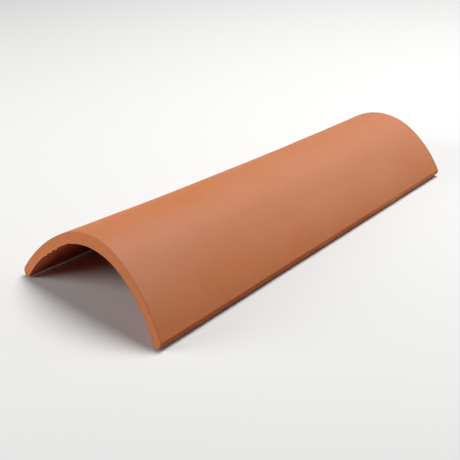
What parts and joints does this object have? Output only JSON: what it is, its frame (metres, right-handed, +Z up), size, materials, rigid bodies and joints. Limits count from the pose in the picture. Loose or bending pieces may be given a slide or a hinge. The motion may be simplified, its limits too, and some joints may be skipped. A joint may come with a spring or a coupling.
{
  "type": "clay roof tile",
  "caption": "Tapered half-barrel clay roof tile: an arched slab with rounded feet that covers the gap between channel tiles and laps the tile below.",
  "frame": {"origin": "middle of the footprint, on the floor that the two feet stand on", "axes": "+X along the tile from its wide end to its narrow end, +Z up through the crown, Y across the arch, which is the same on both sides"},
  "size_m": [0.4, 0.162, 0.062],
  "materials": {
    "tile": "matt fired terracotta, unglazed"
  },
  "bodies": {
    "root": {"tile": "tile"}
  },
  "joints": []
}
